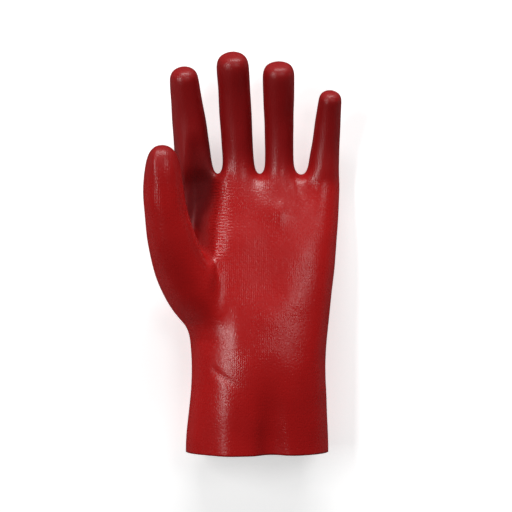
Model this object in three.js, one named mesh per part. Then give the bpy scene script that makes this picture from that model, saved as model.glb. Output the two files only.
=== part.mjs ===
// A left-hand work glove with a smooth dipped coat, as one hollow skin with a short gauntlet cuff.
// It lies on its back with the palm up. Lengths are in millimetres: X runs across the hand to the
// little finger's side, Y from the cuff's cut hem to the fingertips, and Z up, out of the palm.
// The skin is a coarse cage of four-sided faces, smoothed once by Catmull and Clark's rule, creased
// by a table of folds, and then given its wall by a second surface inside the first.
import * as THREE from "three";

// Skin
const WALL = 1.4;

// Cuff, from the cut hem to the narrowest part of the wrist
const CUFF_LENGTH = 58;
const HEM_WIDTH = 99;
const HEM_DEPTH = 50;
const HEM_SHIFT = -1.4; // the hem's middle lies a little to the thumb's side of the wrist's
const WRIST_WIDTH = 92;
const WRIST_DEPTH = 48;
const WRIST_ARCH = 5; // the wrist's back clears the table by this much

// Palm, from the wrist to the roots of the fingers
const PALM_LENGTH = 125;
const PALM_WIDTH = 112;
const PALM_DEPTH = 40;
const KNUCKLE_DEPTH = 30;
const WEB_HEIGHT = 8.5; // the webs between the fingers rise this far past the roots

// Fingers, along their own centre lines, and across at the thickest part of the shaft
const INDEX_LENGTH = 82.5;
const INDEX_WIDTH = 25.5;
const MIDDLE_LENGTH = 92;
const MIDDLE_WIDTH = 23;
const RING_LENGTH = 85.5;
const RING_WIDTH = 22.3;
const LITTLE_LENGTH = 66;
const LITTLE_WIDTH = 24;
const FINGER_PITCH = 5; // degrees that a finger climbs out of the palm's plane at its root
const FINGER_CURL = 26; // and degrees that it bends further towards its tip

// Thumb, from the narrowest part of the wrist to its tip
const THUMB_LENGTH = 150;
const THUMB_WIDTH = 27;
const THUMB_REACH = 17; // its tip's centre stands out this far from the wrist's side
const THUMB_LIFT = 34; // and this far above the wrist's middle

// Folds and dents, at their largest
const FOLD_WIDTH = 20;
const FOLD_DEPTH = 5;
const REST_FLAT = 2; // the back is pressed flat by this much where it meets the table

const BODY_LENGTH = CUFF_LENGTH + PALM_LENGTH;

// Cage columns across the palm side, as shares of the half width. The back has the same ones.
const COLUMNS = [-0.92, -0.75, -0.5, -0.25, 0, 0.25, 0.5, 0.75, 0.92];
const WEB_COLUMNS = [2, 4, 6]; // the columns between two fingers

// Rings of the cuff. along: share of CUFF_LENGTH. flare: 0 has the wrist's size and 1 the hem's.
const CUFF_RINGS = [
  { along: 0.0, flare: 1.0 },
  { along: 0.17, flare: 0.96 },
  { along: 0.44, flare: 0.56 },
  { along: 0.72, flare: 0.16 },
];

// Rings of the palm. along: share of PALM_LENGTH. left and right: how far each side has gone from
// the wrist's half width to the palm's. thick: share of PALM_DEPTH. arch: share of WRIST_ARCH.
// square: exponent of the outline, where 2 is an ellipse. pinch: share of the half depth that is
// taken off at the columns between two fingers. slope: the same at the columns between the palm's
// ridge and the thumb's side, where the palm falls away under the thumb.
const PALM_RINGS = [
  { along: 0.0, left: 0.0, right: 0.0, thick: 1.2, arch: 1.0, square: 2.1, pinch: 0, slope: 0 },
  { along: 0.11, left: 0.08, right: 0.03, thick: 1.16, arch: 1.0, square: 2.2, pinch: 0, slope: 0 },
  { along: 0.22, left: 0.3, right: 0.18, thick: 1.13, arch: 0.8, square: 2.3, pinch: 0, slope: 0 },
  { along: 0.37, left: 0.5, right: 0.4, thick: 1.09, arch: 0.6, square: 2.4, pinch: 0, slope: 0 },
  { along: 0.52, left: 0.64, right: 0.63, thick: 1.03, arch: 0.4, square: 2.5, pinch: 0, slope: 0.2 },
  { along: 0.68, left: 0.8, right: 0.82, thick: 0.95, arch: 0.3, square: 2.5, pinch: 0, slope: 0.6 },
  { along: 0.79, left: 0.92, right: 0.94, thick: 0.87, arch: 0.1, square: 2.5, pinch: 0.03, slope: 0.75 },
  { along: 0.9, left: 1.0, right: 1.02, thick: 0.8, arch: 0.0, square: 2.5, pinch: 0.14, slope: 0.55 },
  { along: 1.0, left: 1.04, right: 1.06, thick: 0.75, arch: -0.05, square: 2.4, pinch: 0.4, slope: 0.2 },
];

// The thumb leaves the palm through a hole in the cage, between these rings and from the back's
// outermost column round the side to the palm side's third one.
const THUMB_RINGS_FROM = CUFF_RINGS.length + 2;
const THUMB_RINGS_TO = CUFF_RINGS.length + 5;

// lean: degrees from the hand's own direction, with plus towards the little finger's side.
// shift: how far the root's centre stands to that side of the middle of its opening, and root,
// middle and tip: the shaft's width there, as shares of the finger's width. blunt: how far the round
// end is squared off, from 0 for a ball.
const FINGERS = [
  { name: "index", length: INDEX_LENGTH, width: INDEX_WIDTH, lean: -5.6, shift: -0.08, root: 1.04, middle: 0.95, tip: 0.79, blunt: 0.06 },
  { name: "middle", length: MIDDLE_LENGTH, width: MIDDLE_WIDTH, lean: -3, shift: 0.03, root: 0.92, middle: 0.96, tip: 0.98, blunt: 0.2 },
  { name: "ring", length: RING_LENGTH, width: RING_WIDTH, lean: -1, shift: 0, root: 0.88, middle: 0.9, tip: 1.0, blunt: 0.26 },
  { name: "little", length: LITTLE_LENGTH, width: LITTLE_WIDTH, lean: 4.5, shift: 0.08, root: 0.98, middle: 0.8, tip: 0.68, blunt: 0.06 },
];

// Rings along a finger's shaft, as shares of the length up to its round end
const SHAFT_RINGS = [0.13, 0.34, 0.56, 0.78, 1];

// Rings of a round end. ahead and across: shares of its radius, past the shaft and across it.
const END_RINGS = [
  { ahead: 0.52, across: 0.94 },
  { ahead: 0.88, across: 0.56 },
];
const END_POINT = 1.0;

// Rings of the thumb. along: share of THUMB_LENGTH. out: share of the way from the ball of the thumb
// to its tip, across. lift: share of THUMB_LIFT. width and depth: shares of THUMB_WIDTH. turn and
// climb: degrees that the ring faces to the outer side and upwards. roll: degrees about its own
// direction, with plus where its outer side is lifted.
const THUMB_RINGS = [
  { along: 0.362, out: 0.47, lift: 0.13, width: 1.76, depth: 1.73, turn: 80, climb: 40, roll: -19 },
  { along: 0.427, out: 0.65, lift: 0.27, width: 1.54, depth: 1.52, turn: 60, climb: 42, roll: -20 },
  { along: 0.543, out: 0.82, lift: 0.53, width: 1.31, depth: 1.22, turn: 34, climb: 36, roll: -9 },
  { along: 0.667, out: 0.94, lift: 0.73, width: 1.1, depth: 1.1, turn: 14, climb: 25, roll: -2 },
  { along: 0.787, out: 1, lift: 0.88, width: 1.0, depth: 1.02, turn: 4, climb: 17, roll: 0 },
  { along: 0.888, out: 1, lift: 0.98, width: 0.92, depth: 0.93, turn: 0, climb: 12, roll: 0 },
  { along: 0.965, out: 1, lift: 1.03, width: 0.64, depth: 0.68, turn: 0, climb: 8, roll: 0 },
];
const THUMB_POINT = { along: 1.0, out: 1.0, lift: 1.04 };

// Folds of the palm side and the back. x: share of half of PALM_WIDTH. y: share of BODY_LENGTH.
// Each is deepest at its first point and runs out at its second. wide: share of FOLD_WIDTH to each
// side. deep: share of FOLD_DEPTH, with minus for a ridge. side: 1 is the palm side and -1 the back.
const FOLDS = [
  { name: "cuff_valley", x1: 0.14, y1: 0.0, x2: 0.16, y2: 0.34, wide: 0.65, deep: 0.8, side: 1 },
  { name: "cuff_ridge", x1: -0.42, y1: 0.0, x2: -0.46, y2: 0.36, wide: 0.7, deep: -0.45, side: 1 },
  { name: "palm_hollow", x1: 0.1, y1: 0.66, x2: 0.12, y2: 0.95, wide: 1.6, deep: 0.45, side: 1 },
  { name: "web_fold", x1: 0.6, y1: 0.98, x2: 0.5, y2: 0.8, wide: 0.5, deep: 0.35, side: 1 },
  { name: "back_dent", x1: 0.0, y1: 0.2, x2: 0.1, y2: 0.6, wide: 1.2, deep: 0.3, side: -1 },
];

const lerp = THREE.MathUtils.lerp;
const radians = THREE.MathUtils.degToRad;
const UP = new THREE.Vector3(0, 0, 1);

// How much larger a cage ring of n points is than the smoothed ring that it makes.
const cageShare = (n) => 1 / Math.cos(Math.PI / n);

const cage = { points: [], quads: [] };

function addPoint(x, y, z) {
  return cage.points.push(new THREE.Vector3(x, y, z)) - 1;
}

// A body ring's outline: palm side from left to right, right side, back from right to left, left side.
function bodyRing({ y, left, right, back, front, square, pinch, slope }) {
  const grow = cageShare(2 * COLUMNS.length + 2);
  const middleX = (left + right) / 2;
  const halfWidth = ((right - left) / 2) * grow;
  const middleZ = (back + front) / 2;
  const halfDepth = ((front - back) / 2) * grow;
  const point = (share, column, side) => {
    const bulge = (1 - Math.abs(share) ** square) ** (1 / square);
    let flat = WEB_COLUMNS.includes(column) ? pinch : 0;
    if (side > 0 && column < WEB_COLUMNS[0]) flat += slope;
    return addPoint(middleX + share * halfWidth, y, middleZ + side * bulge * (1 - flat) * halfDepth);
  };
  const palm = COLUMNS.map((share, column) => point(share, column, 1));
  const rightSide = point(1, -1, 0);
  const backs = COLUMNS.map((share, column) => point(share, column, -1)).reverse();
  const leftSide = point(-1, -1, 0);
  return [...palm, rightSide, ...backs, leftSide];
}

function cuffRings() {
  return CUFF_RINGS.map(({ along, flare }) => {
    const middleX = HEM_SHIFT * flare;
    const halfWidth = lerp(WRIST_WIDTH, HEM_WIDTH, flare) / 2;
    const back = WRIST_ARCH * (1 - flare);
    return bodyRing({
      y: along * CUFF_LENGTH,
      left: middleX - halfWidth,
      right: middleX + halfWidth,
      back,
      front: back + lerp(WRIST_DEPTH, HEM_DEPTH, flare),
      square: PALM_RINGS[0].square,
      pinch: 0,
      slope: 0,
    });
  });
}

function palmRings() {
  const knuckle = PALM_RINGS[PALM_RINGS.length - 1].thick;
  return PALM_RINGS.map(({ along, left, right, thick, arch, square, pinch, slope }) => {
    // thick runs over three named depths: the wrist's, the palm's and the knuckles'
    const [from, to, share] =
      thick >= 1
        ? [PALM_DEPTH, WRIST_DEPTH, (thick - 1) / (PALM_RINGS[0].thick - 1)]
        : [KNUCKLE_DEPTH, PALM_DEPTH, (thick - knuckle) / (1 - knuckle)];
    const back = arch * WRIST_ARCH;
    return bodyRing({
      y: CUFF_LENGTH + along * PALM_LENGTH,
      left: -lerp(WRIST_WIDTH, PALM_WIDTH, left) / 2,
      right: lerp(WRIST_WIDTH, PALM_WIDTH, right) / 2,
      back,
      front: back + lerp(from, to, share),
      square,
      pinch,
      slope,
    });
  });
}

// Joins two rings of like count with a band of quads.
function band(lower, upper) {
  lower.forEach((a, i) => {
    const next = (i + 1) % lower.length;
    cage.quads.push([a, lower[next], upper[next], upper[i]]);
  });
}

// Closes a ring of even count with quads round one point.
function cap(ring, point) {
  for (let i = 0; i < ring.length; i += 2) {
    cage.quads.push([ring[i], ring[i + 1], ring[(i + 2) % ring.length], point]);
  }
}

// A ring round a centre. turns: each point's angle, from across towards above.
function ringAbout(centre, across, above, halfWidth, halfDepth, turns) {
  return turns.map((turn) => {
    const point = centre
      .clone()
      .addScaledVector(across, halfWidth * Math.cos(turn))
      .addScaledVector(above, halfDepth * Math.sin(turn));
    return addPoint(point.x, point.y, point.z);
  });
}

// The middle points of the three webs, and the body's own side points at its two ends.
function webPoints(roots) {
  const backOf = (column) => roots[2 * COLUMNS.length - column];
  const webs = WEB_COLUMNS.map((column) => {
    const middle = cage.points[roots[column]].clone().add(cage.points[backOf(column)]);
    middle.multiplyScalar(0.5);
    return addPoint(middle.x, middle.y + WEB_HEIGHT, middle.z);
  });
  return [roots[2 * COLUMNS.length + 1], ...webs, roots[COLUMNS.length]];
}

function finger({ length, width, lean, shift, root, middle, tip, blunt }, order, roots, webs) {
  const first = 2 * order;
  const backOf = (column) => roots[2 * COLUMNS.length - column];
  const loop = [
    roots[first], roots[first + 1], roots[first + 2], webs[order + 1],
    backOf(first + 2), backOf(first + 1), backOf(first), webs[order],
  ];
  const centre = new THREE.Vector3();
  loop.forEach((i) => centre.add(cage.points[i]));
  centre.multiplyScalar(1 / loop.length);
  centre.x += shift * width;
  centre.y = BODY_LENGTH;

  const grow = cageShare(loop.length);
  const turns = loop.map((_, i) => radians(135 - (360 / loop.length) * i));
  const endRadius = (width * tip) / 2;
  const shaft = length - endRadius;
  const across = new THREE.Vector3(Math.cos(radians(lean)), -Math.sin(radians(lean)), 0);
  const flat = new THREE.Vector3(Math.sin(radians(lean)), Math.cos(radians(lean)), 0);
  const heading = (share) => {
    const pitch = radians(FINGER_PITCH + FINGER_CURL * share);
    return flat.clone().multiplyScalar(Math.cos(pitch)).addScaledVector(UP, Math.sin(pitch));
  };
  const widthAt = (share) =>
    share < 0.5 ? lerp(root, middle, 2 * share) * width : lerp(middle, tip, 2 * share - 1) * width;

  let ring = loop;
  let reached = 0;
  const grown = (radius, direction) => {
    const above = across.clone().cross(direction);
    const next = ringAbout(centre, across, above, radius * grow, radius * grow, turns);
    band(ring, next);
    ring = next;
  };
  for (const share of SHAFT_RINGS) {
    centre.addScaledVector(heading((reached + share) / 2), (share - reached) * shaft);
    reached = share;
    grown(widthAt(share) / 2, heading(share));
  }
  const ending = heading(1);
  const endStart = centre.clone();
  for (const { ahead, across: share } of END_RINGS) {
    centre.copy(endStart).addScaledVector(ending, ahead * endRadius);
    grown(lerp(share, 1, blunt) * endRadius, ending);
  }
  centre.copy(endStart).addScaledVector(ending, END_POINT * endRadius);
  cap(ring, addPoint(centre.x, centre.y, centre.z));
}

// The cage points round the thumb's hole: from the back's edge round the side and across the palm,
// up the palm, back to the back's edge and down it.
function thumbLoop(rings) {
  const backEdge = 2 * COLUMNS.length;
  const palm = WEB_COLUMNS[0];
  const across = (ring) => [...ring.slice(backEdge), ...ring.slice(0, palm + 1)];
  const between = rings.slice(THUMB_RINGS_FROM + 1, THUMB_RINGS_TO);
  return [
    ...across(rings[THUMB_RINGS_FROM]),
    ...between.map((ring) => ring[palm]),
    ...across(rings[THUMB_RINGS_TO]).reverse(),
    ...between.map((ring) => ring[backEdge]).reverse(),
  ];
}

function thumb(rings) {
  const loop = thumbLoop(rings);
  const grow = cageShare(loop.length);
  const ballX = -WRIST_WIDTH / 2 + THUMB_WIDTH / 2;
  const tipX = -WRIST_WIDTH / 2 - THUMB_REACH;
  const place = ({ along, out, lift }) =>
    new THREE.Vector3(
      lerp(ballX, tipX, out),
      CUFF_LENGTH + along * THUMB_LENGTH,
      WRIST_ARCH + WRIST_DEPTH / 2 + lift * THUMB_LIFT,
    );
  // The loop's second point is at the outer side of each ring, and it goes on by the palm side.
  const turns = loop.map((_, i) => radians((360 / loop.length) * (i - 1)));
  let ring = loop;
  for (const row of THUMB_RINGS) {
    const [turn, climb, roll] = [radians(row.turn), radians(row.climb), radians(row.roll)];
    const facing = new THREE.Vector3(
      -Math.sin(turn) * Math.cos(climb),
      Math.cos(turn) * Math.cos(climb),
      Math.sin(climb),
    );
    const outward = new THREE.Vector3(-Math.cos(turn), -Math.sin(turn), 0).applyAxisAngle(facing, roll);
    const above = facing.clone().cross(outward);
    const halfWidth = ((row.width * THUMB_WIDTH) / 2) * grow;
    const halfDepth = ((row.depth * THUMB_WIDTH) / 2) * grow;
    const next = ringAbout(place(row), outward, above, halfWidth, halfDepth, turns);
    band(ring, next);
    ring = next;
  }
  const end = place(THUMB_POINT);
  cap(ring, addPoint(end.x, end.y, end.z));
}

// The body's bands, apart from the hole that the thumb's loop closes.
function bodyBands(rings) {
  const count = rings[0].length;
  const inThumbHole = (row, column) =>
    row >= THUMB_RINGS_FROM && row < THUMB_RINGS_TO && (column < WEB_COLUMNS[0] || column >= count - 2);
  for (let row = 0; row + 1 < rings.length; row += 1) {
    for (let column = 0; column < count; column += 1) {
      if (inThumbHole(row, column)) continue;
      const next = (column + 1) % count;
      const [lower, upper] = [rings[row], rings[row + 1]];
      cage.quads.push([lower[column], lower[next], upper[next], upper[column]]);
    }
  }
}

// The cage without the points that no quad uses, which the thumb's hole leaves behind.
function trimmed({ points, quads }) {
  const used = [...new Set(quads.flat())].sort((a, b) => a - b);
  const place = new Map(used.map((old, i) => [old, i]));
  return { points: used.map((old) => points[old]), quads: quads.map((quad) => quad.map((i) => place.get(i))) };
}

// One pass of Catmull and Clark's rule. An open edge, such as the hem, smooths along itself alone.
function smoothed({ points, quads }) {
  const made = points.map(() => new THREE.Vector3());
  const edges = new Map();
  const around = points.map(() => ({ faces: [], edges: [], rim: [] }));
  const faces = quads.map((quad) => {
    const centre = new THREE.Vector3();
    quad.forEach((i) => centre.add(points[i]));
    return made.push(centre.multiplyScalar(1 / quad.length)) - 1;
  });
  quads.forEach((quad, face) =>
    quad.forEach((a, i) => {
      const b = quad[(i + 1) % quad.length];
      const key = a < b ? `${a} ${b}` : `${b} ${a}`;
      if (!edges.has(key)) edges.set(key, { ends: [a, b], faces: [], point: -1 });
      edges.get(key).faces.push(faces[face]);
      around[a].faces.push(faces[face]);
    }),
  );
  for (const edge of edges.values()) {
    const middle = points[edge.ends[0]].clone().add(points[edge.ends[1]]).multiplyScalar(0.5);
    const point = middle.clone();
    const open = edge.faces.length < 2;
    if (!open) {
      point.add(made[edge.faces[0]].clone().add(made[edge.faces[1]]).multiplyScalar(0.5));
      point.multiplyScalar(0.5);
    }
    edge.point = made.push(point) - 1;
    for (const end of edge.ends) {
      around[end].edges.push(middle);
      if (open) around[end].rim.push(middle);
    }
  }
  points.forEach((point, i) => {
    const { faces: near, edges: middles, rim } = around[i];
    if (rim.length) {
      made[i].copy(point).multiplyScalar(0.5);
      rim.forEach((middle) => made[i].addScaledVector(middle, 0.25));
      return;
    }
    const n = near.length;
    near.forEach((face) => made[i].addScaledVector(made[face], 1 / (n * n)));
    middles.forEach((middle) => made[i].addScaledVector(middle, 2 / (n * n)));
    made[i].addScaledVector(point, (n - 3) / n);
  });
  const split = [];
  quads.forEach((quad, face) =>
    quad.forEach((a, i) => {
      const before = quad[(i + quad.length - 1) % quad.length];
      const after = quad[(i + 1) % quad.length];
      const pointOf = (p, q) => edges.get(p < q ? `${p} ${q}` : `${q} ${p}`).point;
      split.push([a, pointOf(a, after), faces[face], pointOf(before, a)]);
    }),
  );
  return { points: made, quads: split };
}

const onHem = (point) => Math.abs(point.y) < 1e-6;

// Each point's outward direction: the mean of its faces' own, weighted by their size. On the hem it
// lies in the hem's plane, so that the cut stays straight.
function outwards({ points, quads }) {
  const normals = points.map(() => new THREE.Vector3());
  quads.forEach(([a, b, c, d]) => {
    const one = points[c].clone().sub(points[a]);
    const other = points[d].clone().sub(points[b]);
    const normal = one.cross(other);
    [a, b, c, d].forEach((i) => normals[i].add(normal));
  });
  return normals.map((normal, i) => (onHem(points[i]) ? normal.setY(0) : normal).normalize());
}

// Where a point lies at a fold, seen from above: how far from its line, and how far along it.
function placeAtFold(point, { x1, y1, x2, y2 }) {
  const start = new THREE.Vector2((x1 * PALM_WIDTH) / 2, y1 * BODY_LENGTH);
  const end = new THREE.Vector2((x2 * PALM_WIDTH) / 2, y2 * BODY_LENGTH);
  const run = end.clone().sub(start);
  const from = new THREE.Vector2(point.x, point.y).sub(start);
  const share = THREE.MathUtils.clamp(from.dot(run) / run.lengthSq(), 0, 1);
  return { away: from.addScaledVector(run, -share).length(), share };
}

function fold({ points, quads }) {
  const normals = outwards({ points, quads });
  points.forEach((point, i) => {
    let deep = 0;
    for (const row of FOLDS) {
      const facing = Math.max(normals[i].z * row.side, 0);
      const { away, share } = placeAtFold(point, row);
      const across = Math.min(away / (row.wide * FOLD_WIDTH), 1);
      const taper = Math.cos((across * Math.PI) / 2) ** 2 * Math.cos((share * Math.PI) / 2);
      deep += row.deep * FOLD_DEPTH * taper * facing;
    }
    point.addScaledVector(normals[i], -deep);
  });
}

// Sets the skin on the table, which presses its lowest places flat.
function settle({ points }) {
  const lowest = Math.min(...points.map((point) => point.z));
  points.forEach((point) => {
    point.z = Math.max(point.z - lowest - REST_FLAT, 0);
  });
}

// The outer surface, the same surface one wall further in, and the cut rim between them.
function hollow({ points, quads }) {
  const normals = outwards({ points, quads });
  const inner = points.map((point, i) => point.clone().addScaledVector(normals[i], -WALL));
  const count = points.length;
  const faces = [];
  for (const quad of quads) {
    faces.push(quad, quad.map((i) => i + count).reverse());
    quad.forEach((a, i) => {
      const b = quad[(i + 1) % quad.length];
      if (onHem(points[a]) && onHem(points[b])) faces.push([b, a, a + count, b + count]);
    });
  }
  return { points: [...points, ...inner], quads: faces };
}

function geometryOf({ points, quads }) {
  const geometry = new THREE.BufferGeometry();
  geometry.setFromPoints(points);
  geometry.setIndex(quads.flatMap(([a, b, c, d]) => [a, b, c, a, c, d]));
  geometry.computeVertexNormals();
  return geometry;
}

const bodyRings = [...cuffRings(), ...palmRings()];
const roots = bodyRings[bodyRings.length - 1];
const webs = webPoints(roots);
bodyBands(bodyRings);
FINGERS.forEach((row, order) => finger(row, order, roots, webs));
thumb(bodyRings);

const skin = smoothed(trimmed(cage));
fold(skin);
settle(skin);

const coat = new THREE.MeshStandardMaterial({ color: 0xa81c1e, roughness: 0.38, metalness: 0 });
const shell = new THREE.Mesh(geometryOf(hollow(skin)), coat);
shell.name = "glove_shell";

// The origin is on the table, under the middle of the glove's outline.
const glove = new THREE.Group();
glove.add(shell);
const bounds = new THREE.Box3().setFromObject(shell);
const middle = bounds.getCenter(new THREE.Vector3());
shell.position.set(-middle.x, -middle.y, -bounds.min.z);

export default glove;
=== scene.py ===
"""Dresses a packed work glove with its dipped coat and knitted liner, and sets it on a pale table.

The frame gives the glove's solid, which the dressed skin replaces. Every length is in metres.
"""

import math

import bmesh
import bpy
import numpy as np
from bpy.props import FloatProperty, FloatVectorProperty, IntProperty, PointerProperty
from mathutils import Matrix, Vector, noise


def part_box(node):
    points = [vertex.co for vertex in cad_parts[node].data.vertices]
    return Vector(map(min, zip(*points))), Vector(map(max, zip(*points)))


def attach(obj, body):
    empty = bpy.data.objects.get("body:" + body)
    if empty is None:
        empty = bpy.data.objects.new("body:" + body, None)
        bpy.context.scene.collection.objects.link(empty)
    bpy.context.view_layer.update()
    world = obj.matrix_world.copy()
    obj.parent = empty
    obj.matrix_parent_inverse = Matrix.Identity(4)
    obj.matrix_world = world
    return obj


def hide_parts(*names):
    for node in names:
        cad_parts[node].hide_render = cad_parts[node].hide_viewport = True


bl_info = {
    "name": "Dipped work glove",
    "version": (1, 0, 0),
    "blender": (4, 5, 0),
    "location": "3D View > Sidebar > Work glove",
    "description": "Dresses a work glove's solid with a dipped coat over a knitted liner",
    "category": "Object",
}

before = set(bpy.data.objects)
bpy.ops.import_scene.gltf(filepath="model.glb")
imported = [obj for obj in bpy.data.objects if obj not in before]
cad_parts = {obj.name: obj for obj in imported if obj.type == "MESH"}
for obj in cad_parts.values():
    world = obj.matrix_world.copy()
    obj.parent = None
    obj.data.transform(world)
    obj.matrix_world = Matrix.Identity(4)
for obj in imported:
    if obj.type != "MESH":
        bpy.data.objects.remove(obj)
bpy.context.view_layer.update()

SHELL = "glove_shell"
LOWEST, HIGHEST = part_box(SHELL)
MIDDLE_X = (LOWEST.x + HIGHEST.x) / 2
HALF_WIDTH = (HIGHEST.x - LOWEST.x) / 2
LENGTH = HIGHEST.y - LOWEST.y
HEIGHT = HIGHEST.z - LOWEST.z

WELD = 1e-5  # corners of the frame's triangles nearer than this are one

# The camera stands over the palm and looks straight down, with the fingers up in its picture.
CAMERA_X = 0.00804
CAMERA_Y = -0.00215
CAMERA_HEIGHT = 0.9
SENSOR = 36.0  # millimetres
PICTURE_SIDE = 512  # pixels
FOCAL_PIXELS = 1284  # focal length, in the picture's pixels

# Folds and creases of the palm's side. wide: metres to each side. deep: metres, with minus for a ridge.
# start and end: how far the crease has faded there, from 0 for not at all to 1 for quite gone.
# points: the crease runs through them in order. Each is across, a share of half the glove's width from its
# middle to the little finger's side, and along, a share of its length from the hem.
CREASES = {
    "ball_crease": {
        "wide": 0.0034, "deep": 0.0012, "start": 1.0, "end": 0.3,
        "points": [(-0.435, 0.537), (-0.33, 0.495), (-0.265, 0.462)],
    },
    "pinch": {
        "wide": 0.0022, "deep": 0.0009, "start": 0.4, "end": 1.0,
        "points": [(-0.265, 0.466), (-0.262, 0.44), (-0.263, 0.415)],
    },
    "little_web": {
        "wide": 0.0034, "deep": 0.0009, "start": 0.5, "end": 1.0,
        "points": [(0.52, 0.69), (0.58, 0.655), (0.68, 0.632)],
    },
    "ring_web": {
        "wide": 0.0028, "deep": 0.0007, "start": 0.6, "end": 1.0,
        "points": [(0.44, 0.70), (0.47, 0.665), (0.53, 0.635)],
    },
    "heel_line": {
        "wide": 0.003, "deep": 0.0003, "start": 1.0, "end": 1.0,
        "points": [(0.08, 0.405), (0.3, 0.398), (0.58, 0.40)],
    },
    "cuff_crease": {
        "wide": 0.003, "deep": 0.0016, "start": 0.6, "end": 1.0,
        "points": [(-0.31, 0.212), (-0.17, 0.187), (0.0, 0.162)],
    },
    "cuff_gleam": {
        "wide": 0.014, "deep": -0.0009, "start": 0.0, "end": 1.0,
        "points": [(-0.11, 0.0), (-0.11, 0.1), (-0.10, 0.22)],
    },
    "wrist_gleam": {
        "wide": 0.009, "deep": -0.0010, "start": 1.0, "end": 0.8,
        "points": [(-0.09, 0.19), (-0.075, 0.27), (-0.08, 0.38)],
    },
    "wrist_side": {
        "wide": 0.027, "deep": 0.0058, "start": 0.7, "end": 1.0,
        "points": [(-0.48, 0.19), (-0.48, 0.28), (-0.48, 0.40)],
    },
    "cuff_gully": {
        "wide": 0.017, "deep": 0.0050, "start": 0.0, "end": 1.0,
        "points": [(0.30, -0.08), (0.28, 0.04), (0.24, 0.2)],
    },
    "thumb_edge": {
        "wide": 0.004, "deep": -0.0015, "start": 0.6, "end": 0.9,
        "points": [(-0.867, 0.76), (-0.867, 0.71), (-0.845, 0.65)],
    },
    "knuckle_swell": {
        "wide": 0.013, "deep": -0.0026, "start": 0.8, "end": 0.8,
        "points": [(0.27, 0.605), (0.37, 0.602), (0.47, 0.6)],
    },
}
CREASE_BELL = 0.6  # at this share of its width from its line, a crease has 1 / e of its depth

# The palm's side falls away under the thumb, from a crest that runs along the hand.
CREST_ACROSS = -0.11  # share of half the glove's width, with minus to the thumb's side of its middle

# Across the fall. away: metres from the crest to the thumb's side. fallen: metres that the palm has come
# down there.
FALL = [
    {"away": 0.0, "fallen": 0.0},
    {"away": 0.003, "fallen": 0.0004},
    {"away": 0.007, "fallen": 0.0014},
    {"away": 0.012, "fallen": 0.0032},
    {"away": 0.016, "fallen": 0.0056},
    {"away": 0.020, "fallen": 0.0100},
    {"away": 0.024, "fallen": 0.0155},
    {"away": 0.029, "fallen": 0.0195},
    {"away": 0.036, "fallen": 0.0215},
    {"away": 0.090, "fallen": 0.0330},
]

# Along the crest, from the wrist up. along: share of the glove's length. height: metres of the crest over
# the table. share: of the fall's own depth. tight: how many times narrower the fall is there, at the same
# slopes. blend: how far the palm follows the fall there, from 0 for not at all to 1.
CREST = [
    {"along": 0.430, "height": 0.0415, "share": 0.5, "tight": 1.5, "blend": 0.0},
    {"along": 0.469, "height": 0.0400, "share": 0.6, "tight": 1.4, "blend": 0.3},
    {"along": 0.501, "height": 0.0385, "share": 0.8, "tight": 1.2, "blend": 0.6},
    {"along": 0.531, "height": 0.0365, "share": 1.05, "tight": 0.95, "blend": 0.85},
    {"along": 0.581, "height": 0.0330, "share": 1.1, "tight": 0.9, "blend": 1.0},
    {"along": 0.630, "height": 0.0295, "share": 1.0, "tight": 1.25, "blend": 1.0},
    {"along": 0.679, "height": 0.0265, "share": 0.85, "tight": 1.7, "blend": 0.75},
    {"along": 0.716, "height": 0.0250, "share": 0.75, "tight": 2.0, "blend": 0.5},
    {"along": 0.760, "height": 0.0240, "share": 0.7, "tight": 2.2, "blend": 0.3},
    {"along": 0.810, "height": 0.0230, "share": 0.7, "tight": 2.2, "blend": 0.0},
]

FALL_START = 0.005  # metres from the crest over which the fall sets in
FALL_END = (0.026, 0.034)  # metres from the crest between which it runs out under the thumb
FALL_UNDER = (0.037, 0.047)  # metres over the table between which the fall runs out upwards
CLEAR = HEIGHT / 20  # metres up from the table over which the creases and the unevenness set in

# Where the coat's red is deeper towards the fingertips, and the painted shade in the hollow beside the
# thumb.
# A pair gives metres on an axis: the change sets in from the first to the second.
DEEPER_RED_ALONG = (0.040, 0.078)  # towards the fingertips
DEEPER_RED_WANDER = 0.02  # metres by which that change wanders
# Painted shade: the hollow beside the thumb, low on the skin, is coloured dark red as though in shade.
SHADED_HOLLOW_HEIGHT = (0.030, 0.014)  # downwards
SHADED_HOLLOW_ACROSS = (-0.016, -0.024)  # towards the thumb's side
SHADED_HOLLOW_FROM = (0.004, 0.024)  # up from the wrist

# Where the palm bends down to the thumb, the coat has fine cross ribs. The pairs are as above.
RIB_PITCH = 0.0021
RIB_WANDER = 0.0009  # metres by which a rib leaves its line
RIB_LUMP = 0.005  # metres along a rib over which it does so
RIBBED_FROM_LEFT = (-0.026, -0.019)
RIBBED_FROM_RIGHT = (-0.006, -0.012)
RIBBED_FROM_WRIST = (-0.010, 0.004)

# The coat's patches. size: metres. from and to: the values of the noise between which they set in.
RUNS = {"size": 0.05, "from": 0.35, "to": 0.75}
RUN_SHARE = 0.3  # how much of the thick coat's red a run has
THIN = {"size": 0.021, "from": 0.35, "to": 0.65}
KNIT_LEFT = 0.3  # share of the knit's depth that shows where the coat is not thin
PIT_SIZE = 1.7  # times the grain's size
PIT_LEVELS = (0.1, 0.5)  # from a pit's bottom to its rim, in pits' sizes
PIT_DEPTH = 0.4  # share of the grain's depth

# What each adds to the coat's roughness where it is at its most.
ROUGHER = {"grain": 0.1, "thick": 0.04, "toward_tips": 0.1, "shaded_hollow": 0.3}
GLOSS = 0.45  # how strongly the coat mirrors, where 0.5 is usual for plastics

# The knits. The first two are in widths of a rib.
KNIT_LUMP = 3  # over which a rib wanders
KNIT_WANDER = 0.4  # by which it does so
ROW_SHARE = 0.45  # share of a rib's height that the rows across it take away
SIDE_LEVELS = (-0.15, 0.15)  # how much more the skin faces sideways than up
END_LEVELS = (0.72, 0.88)  # how much it faces along the hand

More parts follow.
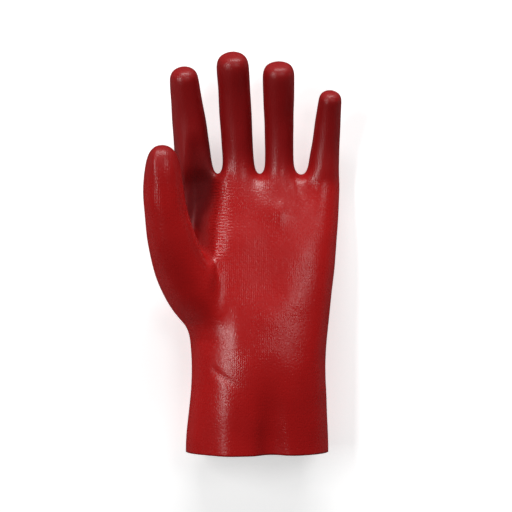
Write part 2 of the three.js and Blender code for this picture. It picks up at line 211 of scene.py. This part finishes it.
# The liner's cotton.
LINER_COURSE = 1.3  # height of its rows, in widths of its ribs
STAIN_COLOR = (0.52, 0.24, 0.22, 1.0)
STAINS = {"size": 0.03, "from": 0.45, "to": 0.8}
STAIN_SHARE = 0.35
# Painted shade: the liner is coloured darker between its ribs and lighter on their tops.
SHADE_COLOR = (0.36, 0.27, 0.24, 1.0)  # deep between its ribs
FLUFF_SIZE = 0.0007
FLUFF_DEPTH = 0.5  # share of the ribs' depth
LINER_LIGHT = {"knit": 0.5, "fluff": 0.3}  # what each adds to its own colour
LINER_ROUGHNESS = {"own": 0.82, "fluff": 0.15}

# Soft boxes over the table. distance: metres from the glove's middle. tilt_x and tilt_y: degrees from
# straight up. width and length: metres, across and along the glove. power: watts.
LAMPS = [
    {"name": "head_box", "distance": 1.5, "tilt_x": 12, "tilt_y": 62,
     "width": 1.3, "length": 0.3, "power": 17.3},
    {"name": "left_strip", "distance": 1.3, "tilt_x": -36, "tilt_y": 10,
     "width": 0.17, "length": 0.85, "power": 6.8},
    {"name": "right_box", "distance": 1.3, "tilt_x": 25, "tilt_y": 19,
     "width": 0.42, "length": 0.38, "power": 2.0},
]
TABLE_HALF = 2.5  # metres from the table's middle to its edge


class GloveForm(bpy.types.PropertyGroup):
    """Sizes of the dressed skin."""

    smoothing: IntProperty(
        name="Smoothing", description="Times that each face of the skin is divided", default=2,
        min=1, max=3,
    )
    crease_share: FloatProperty(
        name="Crease depth", description="Share of their own depth that the creases have",
        default=1.0, min=0.0, max=2.0, subtype="FACTOR",
    )
    swell_depth: FloatProperty(
        name="Swell", description="Depth of the coat's slow unevenness", default=0.00035,
        min=0.0, max=0.002, precision=5, unit="LENGTH",
    )
    swell_size: FloatProperty(
        name="Swell size", description="Distance over which the unevenness changes", default=0.017,
        min=0.005, max=0.05, precision=4, unit="LENGTH",
    )
    coat_share: FloatProperty(
        name="Coat share", description="Share of the cut hem's thickness that is coat", default=0.55,
        min=0.1, max=0.9, subtype="FACTOR",
    )


class CoatFinish(bpy.types.PropertyGroup):
    """The dipped coat's colours, gloss and surface."""

    color: FloatVectorProperty(
        name="Coat", description="The coat's colour", default=(0.455, 0.0085, 0.0085), min=0.0, max=1.0,
        subtype="COLOR",
    )
    # Painted shade: a dark red that colours the hollow beside the thumb in place of the shade there.
    painted_shade_color: FloatVectorProperty(
        name="Painted shade", description="The coat's colour in the hollow beside the thumb",
        default=(0.18, 0.005, 0.007), min=0.0, max=1.0, subtype="COLOR",
    )
    deep_color: FloatVectorProperty(
        name="Thick coat", description="The coat's colour where it has run thick",
        default=(0.30, 0.0055, 0.0065), min=0.0, max=1.0, subtype="COLOR",
    )
    roughness: FloatProperty(
        name="Roughness", description="The coat's own roughness", default=0.2, min=0.05, max=1.0,
        subtype="FACTOR",
    )
    wale: FloatProperty(
        name="Wale", description="Width of the knit's lengthwise ribs under the coat", default=0.00135,
        min=0.0005, max=0.005, precision=5, unit="LENGTH",
    )
    course: FloatProperty(
        name="Course", description="Height of the knit's crosswise rows under the coat", default=0.0019,
        min=0.0005, max=0.005, precision=5, unit="LENGTH",
    )
    knit_depth: FloatProperty(
        name="Knit depth", description="How far the knit stands out through the coat", default=0.000055,
        min=0.0, max=0.0005, precision=6, unit="LENGTH",
    )
    rib_depth: FloatProperty(
        name="Rib depth", description="Depth of the cross ribs where the palm bends down to the thumb",
        default=0.00013, min=0.0, max=0.0005, precision=6, unit="LENGTH",
    )
    grain_size: FloatProperty(
        name="Grain", description="Size of the coat's fine grain", default=0.0012, min=0.0003, max=0.005,
        precision=5, unit="LENGTH",
    )
    grain_depth: FloatProperty(
        name="Grain depth", description="Depth of the coat's fine grain", default=0.00012, min=0.0,
        max=0.0005, precision=6, unit="LENGTH",
    )


class LinerFinish(bpy.types.PropertyGroup):
    """The knitted liner's colour and stitches."""

    color: FloatVectorProperty(
        name="Liner", description="The cotton's colour", default=(0.66, 0.56, 0.50), min=0.0, max=1.0,
        subtype="COLOR",
    )
    wale: FloatProperty(
        name="Wale", description="Width of the liner's lengthwise ribs", default=0.0018, min=0.0005,
        max=0.005, precision=5, unit="LENGTH",
    )
    rib_depth: FloatProperty(
        name="Rib depth", description="Depth between the liner's ribs", default=0.0003, min=0.0,
        max=0.001, precision=5, unit="LENGTH",
    )


class StageForm(bpy.types.PropertyGroup):
    """The table and its lamps."""

    table_color: FloatVectorProperty(
        name="Table", description="The table's colour", default=(0.86, 0.86, 0.86), min=0.0, max=1.0,
        subtype="COLOR",
    )
    table_glow: FloatProperty(
        name="Table glow", description="Light that the table gives off by itself", default=0.6,
        min=0.0, max=2.0,
    )
    room_light: FloatProperty(
        name="Room light", description="Even light from all round", default=0.03, min=0.0, max=2.0,
    )
    lamp_share: FloatProperty(
        name="Lamps", description="Share of their own power that the lamps have", default=1.0, min=0.0,
        max=4.0, subtype="FACTOR",
    )


def place_on_glove(across, along):
    """The point of the plan, in metres, at these shares of the glove's half width and length."""
    return np.array([MIDDLE_X + across * HALF_WIDTH, LOWEST.y + along * LENGTH])


def outer_skin(triangles):
    """Leaves only the outer surface of a welded hollow solid, whose hem is cut square at its lowest Y."""
    hem = [f for f in triangles.faces if all(v.co.y < LOWEST.y + WELD for v in f.verts)]
    bmesh.ops.delete(triangles, geom=hem, context="FACES_ONLY")
    lowest = min(triangles.verts, key=lambda v: v.co.z)
    found = {lowest}
    front = [lowest]
    while front:
        near = {e.other_vert(v) for v in front for e in v.link_edges if e.link_faces}
        front = list(near - found)
        found |= near
    bmesh.ops.delete(triangles, geom=[v for v in triangles.verts if v not in found], context="VERTS")


def join_into_quads(skin):
    """Joins the triangles in pairs, back into the four-sided faces that they were cut from.

    A smoothed cage has a point at the middle of each old edge, where two old edges' halves cross two
    seams, so no more than four triangle sides meet there. Each four-sided face has two such points, and
    the side that cuts it in two joins the other two.
    """
    cuts = [e for e in skin.edges if all(len(v.link_edges) > 4 for v in e.verts)]
    bmesh.ops.dissolve_edges(skin, edges=cuts, use_verts=False, use_face_split=False)


def frame_skin():
    """A new mesh with the frame's outer surface, in four-sided faces."""
    skin = bmesh.new()
    skin.from_mesh(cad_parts[SHELL].data)
    bmesh.ops.remove_doubles(skin, verts=skin.verts, dist=WELD)
    outer_skin(skin)
    join_into_quads(skin)
    mesh = bpy.data.meshes.new("skin")
    skin.to_mesh(mesh)
    skin.free()
    return mesh


def frame_wall():
    """The solid's wall, in metres: the area of its cut hem over the mean length of the hem's two rims."""
    solid = bmesh.new()
    solid.from_mesh(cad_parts[SHELL].data)
    bmesh.ops.remove_doubles(solid, verts=solid.verts, dist=WELD)
    hem = {f for f in solid.faces if all(v.co.y < LOWEST.y + WELD for v in f.verts)}
    rims = {e for f in hem for e in f.edges if any(side not in hem for side in e.link_faces)}
    wall = 2 * sum(f.calc_area() for f in hem) / sum(e.calc_length() for e in rims)
    solid.free()
    return wall


def divided(mesh, times):
    """The mesh with each face divided this many times and smoothed."""
    carrier = bpy.data.objects.new("carrier", mesh)
    bpy.context.scene.collection.objects.link(carrier)
    smooth = carrier.modifiers.new("smooth", "SUBSURF")
    smooth.levels = smooth.render_levels = times
    graph = bpy.context.evaluated_depsgraph_get()
    made = bpy.data.meshes.new_from_object(carrier.evaluated_get(graph))
    bpy.data.objects.remove(carrier)
    bpy.data.meshes.remove(mesh)
    return made


def points_of(mesh):
    points = np.empty(len(mesh.vertices) * 3)
    mesh.vertices.foreach_get("co", points)
    return points.reshape(-1, 3)


def faces_of(mesh):
    faces = np.empty(len(mesh.polygons) * 4, int)
    mesh.polygons.foreach_get("vertices", faces)
    return faces.reshape(-1, 4)


def on_hem(points):
    return points[:, 1] < LOWEST.y + WELD


def outwards(points, faces):
    """Each point's outward direction, which stays in the hem's plane on the hem."""
    crossed = np.cross(points[faces[:, 2]] - points[faces[:, 0]], points[faces[:, 3]] - points[faces[:, 1]])
    normals = np.zeros_like(points)
    for corner in range(4):
        np.add.at(normals, faces[:, corner], crossed)
    normals[on_hem(points), 1] = 0
    return normals / np.linalg.norm(normals, axis=1)[:, None]


def place_at_line(plan, line):
    """How far each point of the plan is from a line through points, and how far along it, from 0 to 1."""
    steps = np.diff(line, axis=0)
    lengths = np.linalg.norm(steps, axis=1)
    before = np.concatenate([[0], np.cumsum(lengths)])
    away = np.full(len(plan), np.inf)
    share = np.zeros(len(plan))
    for start, step, length, passed in zip(line, steps, lengths, before):
        t = np.clip((plan - start) @ step / length**2, 0, 1)
        gap = np.linalg.norm(plan - start - t[:, None] * step, axis=1)
        nearer = gap < away
        away[nearer] = gap[nearer]
        share[nearer] = (passed + t[nearer] * length) / before[-1]
    return away, share


def rounded(line, steps=8):
    """A line through these points with its corners rounded off, by a Catmull and Rom curve."""
    line = np.array(line)
    ends = np.vstack([2 * line[0] - line[1], line, 2 * line[-1] - line[-2]])
    made = []
    for a, b, c, d in zip(ends, ends[1:], ends[2:], ends[3:]):
        for t in np.arange(steps) / steps:
            bend = 2 * a - 5 * b + 4 * c - d
            twist = 3 * b - a - 3 * c + d
            made.append(0.5 * (2 * b + (c - a) * t + bend * t**2 + twist * t**3))
    return np.array(made + [line[-1]])


def column(rows, key):
    return [row[key] for row in rows]


def smooth_step(value, low, high):
    share = np.clip((value - low) / (high - low), 0, 1)
    return share * share * (3 - 2 * share)


def crease(points, normals, row):
    """How far a crease takes each point inwards. Only skin that faces up is creased."""
    line = rounded([place_on_glove(*point) for point in row["points"]])
    away, share = place_at_line(points[:, :2], line)
    facing = np.clip(normals[:, 2], 0, 1)
    across = np.exp(-((away / (CREASE_BELL * row["wide"])) ** 2))
    faded = np.maximum(row["start"] * smooth_step(1 - share, 0, 1), row["end"] * smooth_step(share, 0, 1))
    return row["deep"] * across * (1 - faded) * np.sqrt(facing)


def fallen_side(points, normals):
    """The points with the palm's side let down under the thumb."""
    away = MIDDLE_X + CREST_ACROSS * HALF_WIDTH - points[:, 0]
    along = (points[:, 1] - LOWEST.y) / LENGTH
    places = column(CREST, "along")
    height, share, tight, blend = (
        np.interp(along, places, column(CREST, key)) for key in ("height", "share", "tight", "blend")
    )
    curve = rounded([(row["away"], row["fallen"]) for row in FALL])
    target = height - share / tight * np.interp(away * tight, curve[:, 0], curve[:, 1])
    blend = smooth_step(blend, 0, 1) * smooth_step(away, 0, FALL_START) * (1 - smooth_step(away, *FALL_END))
    blend *= 1 - smooth_step(points[:, 2], *FALL_UNDER)
    blend *= np.sqrt(np.clip(normals[:, 2], 0, 1))
    let_down = points.copy()
    let_down[:, 2] += blend * (target - points[:, 2])
    return let_down


def swell(points, form):
    """The slow unevenness of a hand-dipped coat, from -1 to 1."""
    scale = 1 / form.swell_size
    return np.array([noise.noise(Vector(point) * scale) for point in points])


def dressed(points, faces, form):
    """The skin's points with its fallen side, its creases and its unevenness."""
    points = fallen_side(points, outwards(points, faces))
    normals = outwards(points, faces)
    inwards = sum(crease(points, normals, row) for row in CREASES.values()) * form.crease_share
    uneven = swell(points, form) * form.swell_depth
    clear = np.clip((points[:, 2] - LOWEST.z) / CLEAR, 0, 1)
    return points - normals * ((inwards + uneven) * clear)[:, None]


def hem_loop(points, faces):
    """The hem's edges as pairs of points, in the direction that their faces give them."""
    hem = on_hem(points)
    pairs = []
    for a, b in ((0, 1), (1, 2), (2, 3), (3, 0)):
        both = hem[faces[:, a]] & hem[faces[:, b]]
        pairs.append(faces[both][:, [a, b]])
    return np.vstack(pairs)


def walled(outer, faces, wall, coat_share):
    """Points and faces of the outer and inner surfaces and of the cut hem.

    Each face's material, and whether it is shaded flat, come with them.
    """
    normals = outwards(outer, faces)
    inner = outer - normals * wall
    count = len(outer)
    pairs = hem_loop(outer, faces)
    rim = np.unique(pairs)
    seam = outer[rim] - normals[rim] * wall * coat_share
    seam_of = np.zeros(count, int)
    seam_of[rim] = 2 * count + np.arange(len(rim))
    a, b = pairs[:, 0], pairs[:, 1]
    coat_rim = np.column_stack([b, a, seam_of[a], seam_of[b]])
    liner_rim = np.column_stack([seam_of[b], seam_of[a], a + count, b + count])
    made = np.vstack([faces, coat_rim, faces[:, ::-1] + count, liner_rim])
    liner_from = len(faces) + len(coat_rim)
    materials = np.where(np.arange(len(made)) < liner_from, 0, 1)
    flat = np.zeros(len(made), bool)
    flat[len(faces):liner_from] = True
    flat[liner_from + len(faces):] = True
    return np.vstack([outer, inner, seam]), made, materials, flat


class Value:
    """A shader socket in a sum: each operator adds the Math node for it."""

    def __init__(self, finish, socket):
        self.finish = finish
        self.socket = socket

    def worked(self, operation, *terms):
        made = self.finish.node("ShaderNodeMath", {"operation": operation}, dict(enumerate(terms)))
        return Value(self.finish, made.outputs[0])

    def __add__(self, other):
        return self.worked("ADD", self, other)

    def __sub__(self, other):
        return self.worked("SUBTRACT", self, other)

    def __rsub__(self, other):
        return self.worked("SUBTRACT", other, self)

    def __mul__(self, other):
        return self.worked("MULTIPLY", self, other)

    __radd__ = __add__
    __rmul__ = __mul__

    def size(self):
        return self.worked("ABSOLUTE", self)

    def wave(self, pitch):
        """A wave from 0 to 1 that repeats at each pitch."""
        return self.worked("COSINE", self * (2 * math.pi / pitch)) * 0.5 + 0.5

    def between(self, low, high):
        """0 at low and 1 at high, with a smooth change between them. Low may be the greater of the two."""
        made = self.finish.node(
            "ShaderNodeMapRange", {"interpolation_type": "SMOOTHSTEP"}, {0: self, 1: low, 2: high}
        )
        return Value(self.finish, made.outputs[0])


class Finish:
    """A material and the nodes that it is made of."""

    def __init__(self, name):
        self.material = bpy.data.materials.new(name)
        self.material.use_nodes = True
        self.tree = self.material.node_tree
        self.surface = self.tree.nodes["Principled BSDF"]
        self.place = self.node("ShaderNodeTexCoord")
        self.point = Value(self, self.place.outputs["Object"])

    def node(self, kind, settings=None, values=None):
        """Adds a node of this kind, with its settings, then the values or links of its sockets."""
        made = self.tree.nodes.new(kind)
        for key, setting in (settings or {}).items():
            setattr(made, key, setting)
        for key, value in (values or {}).items():
            self.feed(made.inputs[key], value)
        return made

    def feed(self, socket, value):
        if isinstance(value, Value):
            self.tree.links.new(value.socket, socket)
        else:
            socket.default_value = value

    def set(self, values):
        """Gives the surface's sockets their values or links."""
        for key, value in values.items():
            self.feed(self.surface.inputs[key], value)

    def axes(self, vector):
        made = self.node("ShaderNodeSeparateXYZ", values={0: vector})
        return [Value(self, socket) for socket in made.outputs]

    def cloud(self, size, detail=2.0, roughness=0.5):
        """Noise from 0 to 1 whose lumps have this size in metres."""
        made = self.node(
            "ShaderNodeTexNoise",
            values={"Vector": self.point, "Scale": 1 / size, "Detail": detail, "Roughness": roughness},
        )
        return Value(self, made.outputs[0])

    def patches(self, form, detail=2.0):
        """Patches from 0 to 1, of the form's size, that set in between its two values of the noise."""
        return self.cloud(form["size"], detail).between(form["from"], form["to"])

    def cells(self, size):
        """Distance from the nearest of scattered points about this far apart, from 0 to about 1."""
        made = self.node("ShaderNodeTexVoronoi", values={"Vector": self.point, "Scale": 1 / size})
        return Value(self, made.outputs[0])

    def blend(self, share, low, high):
        """A colour between these two. They go in by number, as the Mix node's names for them repeat."""
        made = self.node("ShaderNodeMix", {"data_type": "RGBA"}, {0: share, 6: low, 7: high})
        return Value(self, made.outputs[2])

    def raised(self, height):
        """The normal of a surface raised by this height in metres."""
        made = self.node("ShaderNodeBump", values={"Strength": 1.0, "Distance": 1.0, "Height": height})
        return Value(self, made.outputs[0])

    def wandered(self, axis, size, reach):
        """The axis with its places moved to and fro by up to this reach, over lumps of this size."""
        return axis + (self.cloud(size) - 0.5) * (2 * reach)

    def knit(self, wale, course):
        """A knit's stitches from 0 to 1: ribs along the hand, crossed by rows.

        They are drawn from above, from the side or from the end, whichever way the skin faces.
        """
        lump, reach = KNIT_LUMP * wale, KNIT_WANDER * wale
        x, y, z = (self.wandered(axis, lump, reach) for axis in self.axes(self.point))
        side, end, up = (axis.size() for axis in self.axes(Value(self, self.place.outputs["Normal"])))
        rows = y.wave(course) * ROW_SHARE + (1 - ROW_SHARE)
        from_above = x.wave(wale) * rows
        from_side = z.wave(wale) * rows
        from_end = x.wave(wale) * (z.wave(course) * ROW_SHARE + (1 - ROW_SHARE))
        sideways = (side - up).between(*SIDE_LEVELS)
        endways = end.between(*END_LEVELS)
        skin = from_above * (1 - sideways) + from_side * sideways
        return skin * (1 - endways) + from_end * endways


def opaque(color):
    return (*color, 1.0)


def coat_material(look):
    """Semi-gloss PVC, dipped over a fine knit that shows through it where it is thin.

    Its red is deeper towards the fingertips and in random runs. The dark red in the hollow beside the thumb
    is painted shade.
    """
    coat = Finish("dipped_coat")
    x, y, z = coat.axes(coat.point)
    run = coat.patches(RUNS, detail=3.0) * RUN_SHARE
    toward_tips = (y + run * DEEPER_RED_WANDER).between(*DEEPER_RED_ALONG)
    # Painted shade: the hollow beside the thumb gets a dark colour as though in shade.
    shaded_hollow = z.between(*SHADED_HOLLOW_HEIGHT) * x.between(*SHADED_HOLLOW_ACROSS) * y.between(*SHADED_HOLLOW_FROM)
    # Deeper red towards the fingertips and in random runs.
    thick = 1 - (1 - toward_tips) * (1 - run)
    color = coat.blend(thick, opaque(look.color), opaque(look.deep_color))
    grain = coat.cloud(look.grain_size, detail=3.0, roughness=0.6)
    thin = coat.patches(THIN)
    knit = coat.knit(look.wale, look.course)
    pits = coat.cells(look.grain_size * PIT_SIZE).between(*PIT_LEVELS)
    ribs = coat.wandered(y, RIB_LUMP, RIB_WANDER).wave(RIB_PITCH)
    ribs = ribs * x.between(*RIBBED_FROM_LEFT) * x.between(*RIBBED_FROM_RIGHT)
    ribs = ribs * y.between(*RIBBED_FROM_WRIST) * (1 - toward_tips)
    height = knit * (thin * (1 - KNIT_LEFT) + KNIT_LEFT) * look.knit_depth + ribs * look.rib_depth
    height = height + (grain + pits * PIT_DEPTH) * look.grain_depth
    rough = grain * ROUGHER["grain"] + (1 - thin) * ROUGHER["thick"]
    rough = rough + toward_tips * ROUGHER["toward_tips"] + shaded_hollow * ROUGHER["shaded_hollow"] + look.roughness
    coat.set({
        "Base Color": coat.blend(shaded_hollow, color, opaque(look.painted_shade_color)),
        "Roughness": rough,
        "Specular IOR Level": GLOSS,
        "Normal": coat.raised(height),
    })
    return coat.material


def liner_material(look):
    """Brushed cotton knit, a little stained by the coat."""
    liner = Finish("knitted_liner")
    knit = liner.knit(look.wale, look.wale * LINER_COURSE)
    fluff = liner.cloud(FLUFF_SIZE, detail=3.0, roughness=0.7)
    stain = liner.patches(STAINS) * STAIN_SHARE
    cotton = liner.blend(stain, opaque(look.color), STAIN_COLOR)
    # Painted shade between the knit's ribs: darker where they sink, lighter on their tops. The fluff's
    # lighter flecks are the cotton's own.
    light = knit * LINER_LIGHT["knit"] + fluff * LINER_LIGHT["fluff"]
    liner.set({
        "Base Color": liner.blend(light, SHADE_COLOR, cotton),
        "Roughness": fluff * LINER_ROUGHNESS["fluff"] + LINER_ROUGHNESS["own"],
        "Normal": liner.raised(knit * look.rib_depth + fluff * (look.rib_depth * FLUFF_DEPTH)),
    })
    return liner.material


def table_material(form):
    """Plain pale card, which glows a little as a light table does."""
    table = Finish("pale_table")
    table.set({
        "Base Color": opaque(form.table_color),
        "Roughness": 0.9,
        "Specular IOR Level": 0.1,
        "Emission Color": opaque(form.table_color),
        "Emission Strength": form.table_glow,
    })
    return table.material


class GLOVE_OT_skin(bpy.types.Operator):
    """Makes the glove's coat and liner from its solid, as one skin with a cut hem"""

    bl_idname = "work_glove.skin"
    bl_label = "Dress the glove"

    def execute(self, context):
        scene = context.scene
        form = scene.glove_form
        mesh = divided(frame_skin(), form.smoothing)
        faces = faces_of(mesh)
        outer = dressed(points_of(mesh), faces, form)
        points, made, materials, flat = walled(outer, faces, frame_wall(), form.coat_share)
        bpy.data.meshes.remove(mesh)
        skin = bpy.data.meshes.new("glove_skin")
        skin.from_pydata(points.tolist(), [], made.tolist())
        skin.materials.append(coat_material(scene.coat_finish))
        skin.materials.append(liner_material(scene.liner_finish))
        skin.polygons.foreach_set("material_index", materials.astype(np.int32))
        skin.polygons.foreach_set("use_smooth", ~flat)
        skin.update()
        glove = bpy.data.objects.new("glove_skin", skin)
        scene.collection.objects.link(glove)
        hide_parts(SHELL)
        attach(glove, "root")
        return {"FINISHED"}


def area_lamp(name, aim, distance, tilt_x, tilt_y, width, length, power):
    """A soft box that faces the aim. The tilts are degrees from straight up, to +X and to +Y.

    Its length runs along Y as far as it can, and its width across.
    """
    data = bpy.data.lights.new(name, "AREA")
    data.shape = "RECTANGLE"
    data.size = width
    data.size_y = length
    data.energy = power
    lamp = bpy.data.objects.new(name, data)
    way = Vector((math.tan(math.radians(tilt_x)), math.tan(math.radians(tilt_y)), 1)).normalized()
    lamp.location = aim + way * distance
    across = Vector((0, 1, 0)).cross(way).normalized()
    lamp.rotation_euler = Matrix((across, way.cross(across), way)).transposed().to_euler()
    bpy.context.scene.collection.objects.link(lamp)


class GLOVE_OT_stage(bpy.types.Operator):
    """Lays the pale table, hangs the lamps and sets up the camera over the palm"""

    bl_idname = "work_glove.stage"
    bl_label = "Set the stage"

    def execute(self, context):
        scene = context.scene
        form = scene.stage_form
        mesh = bpy.data.meshes.new("table")
        corners = [(x * TABLE_HALF, y * TABLE_HALF, 0) for x, y in ((-1, -1), (1, -1), (1, 1), (-1, 1))]
        mesh.from_pydata(corners, [], [(0, 1, 2, 3)])
        mesh.materials.append(table_material(form))
        table = bpy.data.objects.new("table", mesh)
        table.location.z = LOWEST.z - WELD
        table.visible_glossy = False
        scene.collection.objects.link(table)

        aim = Vector((CAMERA_X, CAMERA_Y, HEIGHT / 2))
        for row in LAMPS:
            area_lamp(aim=aim, **{**row, "power": row["power"] * form.lamp_share})

        world = bpy.data.worlds.new("room")
        world.use_nodes = True
        world.node_tree.nodes["Background"].inputs["Color"].default_value = (1, 1, 1, 1)
        world.node_tree.nodes["Background"].inputs["Strength"].default_value = form.room_light
        scene.world = world

        lens = bpy.data.cameras.new("camera")
        lens.sensor_width = SENSOR
        lens.lens = SENSOR * FOCAL_PIXELS / PICTURE_SIDE
        camera = bpy.data.objects.new("camera", lens)
        camera.location = (CAMERA_X, CAMERA_Y, CAMERA_HEIGHT)
        scene.collection.objects.link(camera)
        scene.camera = camera
        scene.view_settings.view_transform = "Standard"
        return {"FINISHED"}


class GLOVE_PT_sidebar(bpy.types.Panel):
    """The glove's sizes, colours and steps"""

    bl_label = "Work glove"
    bl_idname = "GLOVE_PT_sidebar"
    bl_space_type = "VIEW_3D"
    bl_region_type = "UI"
    bl_category = "Work glove"

    def draw(self, context):
        for name in SETTINGS:
            box = self.layout.box()
            settings = getattr(context.scene, name)
            for key in settings.__annotations__:
                box.prop(settings, key)
        for step in STEPS:
            self.layout.operator(step.bl_idname)


SETTINGS = {
    "glove_form": GloveForm,
    "coat_finish": CoatFinish,
    "liner_finish": LinerFinish,
    "stage_form": StageForm,
}
STEPS = (GLOVE_OT_skin, GLOVE_OT_stage)
CLASSES = (*SETTINGS.values(), *STEPS, GLOVE_PT_sidebar)


def register():
    for each in CLASSES:
        bpy.utils.register_class(each)
    for name, settings in SETTINGS.items():
        setattr(bpy.types.Scene, name, PointerProperty(type=settings))


def unregister():
    for name in SETTINGS:
        delattr(bpy.types.Scene, name)
    for each in reversed(CLASSES):
        bpy.utils.unregister_class(each)


def main():
    register()
    bpy.ops.work_glove.skin()
    bpy.ops.work_glove.stage()


if __name__ == "__main__":
    main()
